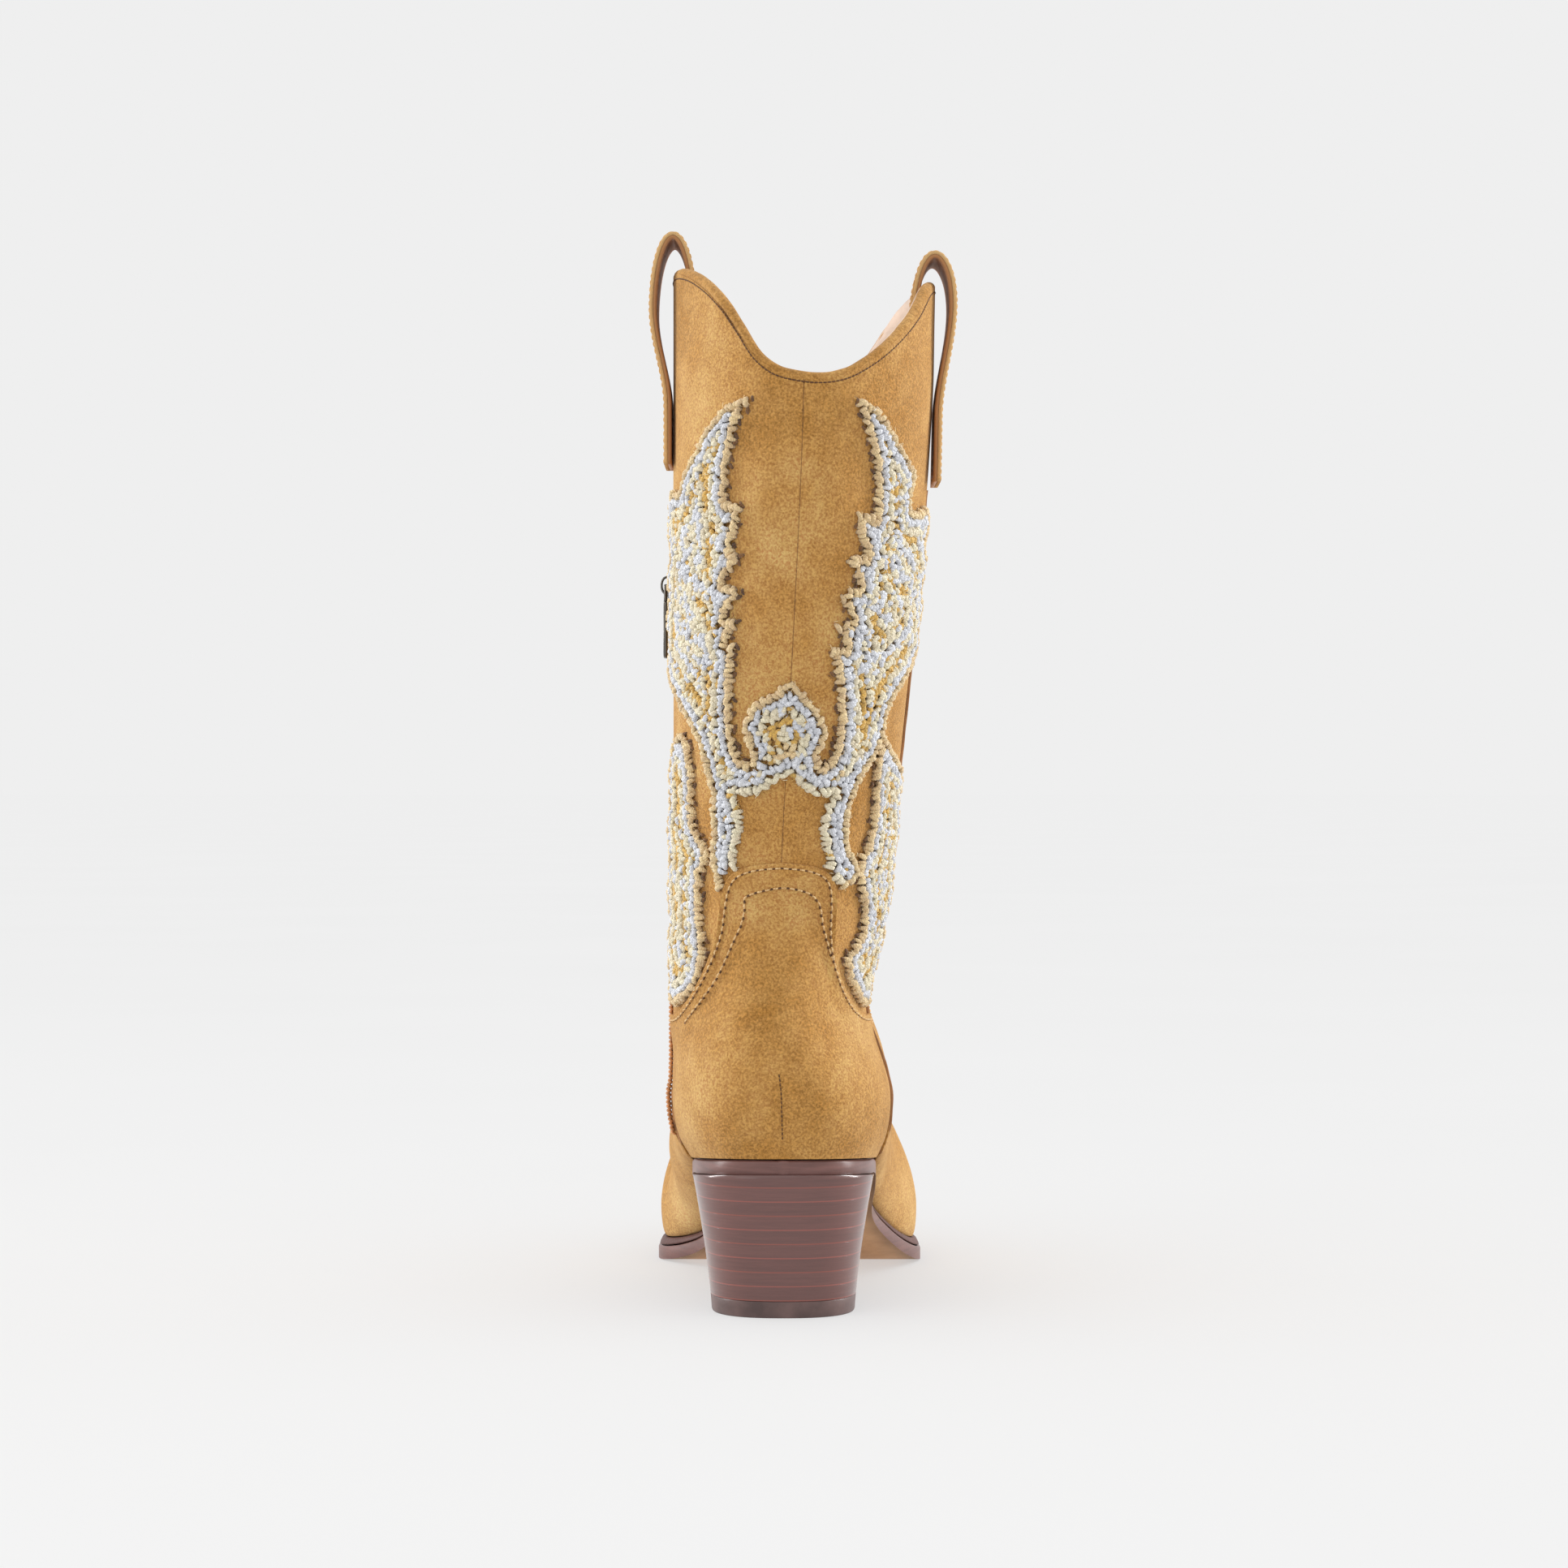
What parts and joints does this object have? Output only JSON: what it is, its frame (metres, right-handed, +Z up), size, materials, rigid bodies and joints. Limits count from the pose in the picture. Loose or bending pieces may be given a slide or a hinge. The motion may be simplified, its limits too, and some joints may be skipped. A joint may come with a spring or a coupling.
{
  "type": "cowboy boot",
  "caption": "Right-foot suede western boot with a stacked leather heel, looped-yarn embroidered shaft, pull straps and a side zip.",
  "frame": {"origin": "on the ground under the middle of the heel, on the flat underside of the rubber top lift", "axes": "+Z up, +Y towards the toe, +X towards the outer side of the foot"},
  "size_m": [0.1073, 0.2783, 0.3706],
  "materials": {
    "suede": "napped suede",
    "binding": "napped suede, rolled",
    "strap": "napped suede with cut edges",
    "seam_edge": "cut edge",
    "lining": "smooth matt",
    "stiffener": "pressed fibre",
    "yarn": "looped cotton yarn",
    "zip_tape": "woven",
    "zip_coil": "nylon monofilament",
    "zip_metal": "polished nickel plate",
    "insole": "board",
    "steel": "plain steel",
    "cork": "ground cork",
    "welt": "burnished edge",
    "outsole": "burnished edge, tan underside",
    "stacked_leather": "polished stacked leather",
    "top_lift": "moulded"
  },
  "bodies": {
    "boot": {"shaft_front": "suede", "shaft_back_medial": "suede", "shaft_back_lateral": "suede", "vamp": "suede", "heel_counter_cover": "suede", "shaft_lining_front": "lining", "shaft_lining_back": "lining", "vamp_lining": "lining", "zip_guard_flap": "lining", "sock_liner": "lining", "heel_stiffener": "stiffener", "toe_puff": "stiffener", "topline_binding": "binding", "side_seam_welt": "seam_edge", "pull_strap_medial": "strap", "pull_strap_lateral": "strap", "embroidery_back_medial": "yarn", "embroidery_back_lateral": "yarn", "embroidery_front_medial": "yarn", "embroidery_front_lateral": "yarn", "zip_tape_front": "zip_tape", "zip_tape_back": "zip_tape", "zip_coil_front": "zip_coil", "zip_coil_back": "zip_coil", "zip_top_stops": "zip_metal", "zip_bottom_stop": "zip_metal", "insole_board": "insole", "steel_shank": "steel", "forepart_filler": "cork", "welt": "welt", "outsole": "outsole", "heel_lift_1": "stacked_leather", "heel_lift_2": "stacked_leather", "heel_lift_3": "stacked_leather", "heel_lift_4": "stacked_leather", "heel_lift_5": "stacked_leather", "heel_lift_6": "stacked_leather", "heel_lift_7": "stacked_leather", "heel_lift_8": "stacked_leather", "heel_lift_9": "stacked_leather", "rubber_top_lift": "top_lift", "heel_screw": "steel", "heel_nails": "steel", "top_lift_nails": "steel"},
    "slider": {"zip_slider": "zip_metal"},
    "pull_tab": {"zip_pull_tab": "zip_metal"}
  },
  "joints": [
    {"name": "zip_slide", "type": "slide", "parent": "boot", "child": "slider", "axis": [0, 0, -1], "range_m": [0, 0.164]},
    {"name": "zip_pull_hinge", "type": "hinge", "parent": "slider", "child": "pull_tab", "pos_m": [-0.0397, 0.03, 0.2482], "axis": [0, 1, 0], "range_deg": [0, 150]}
  ]
}
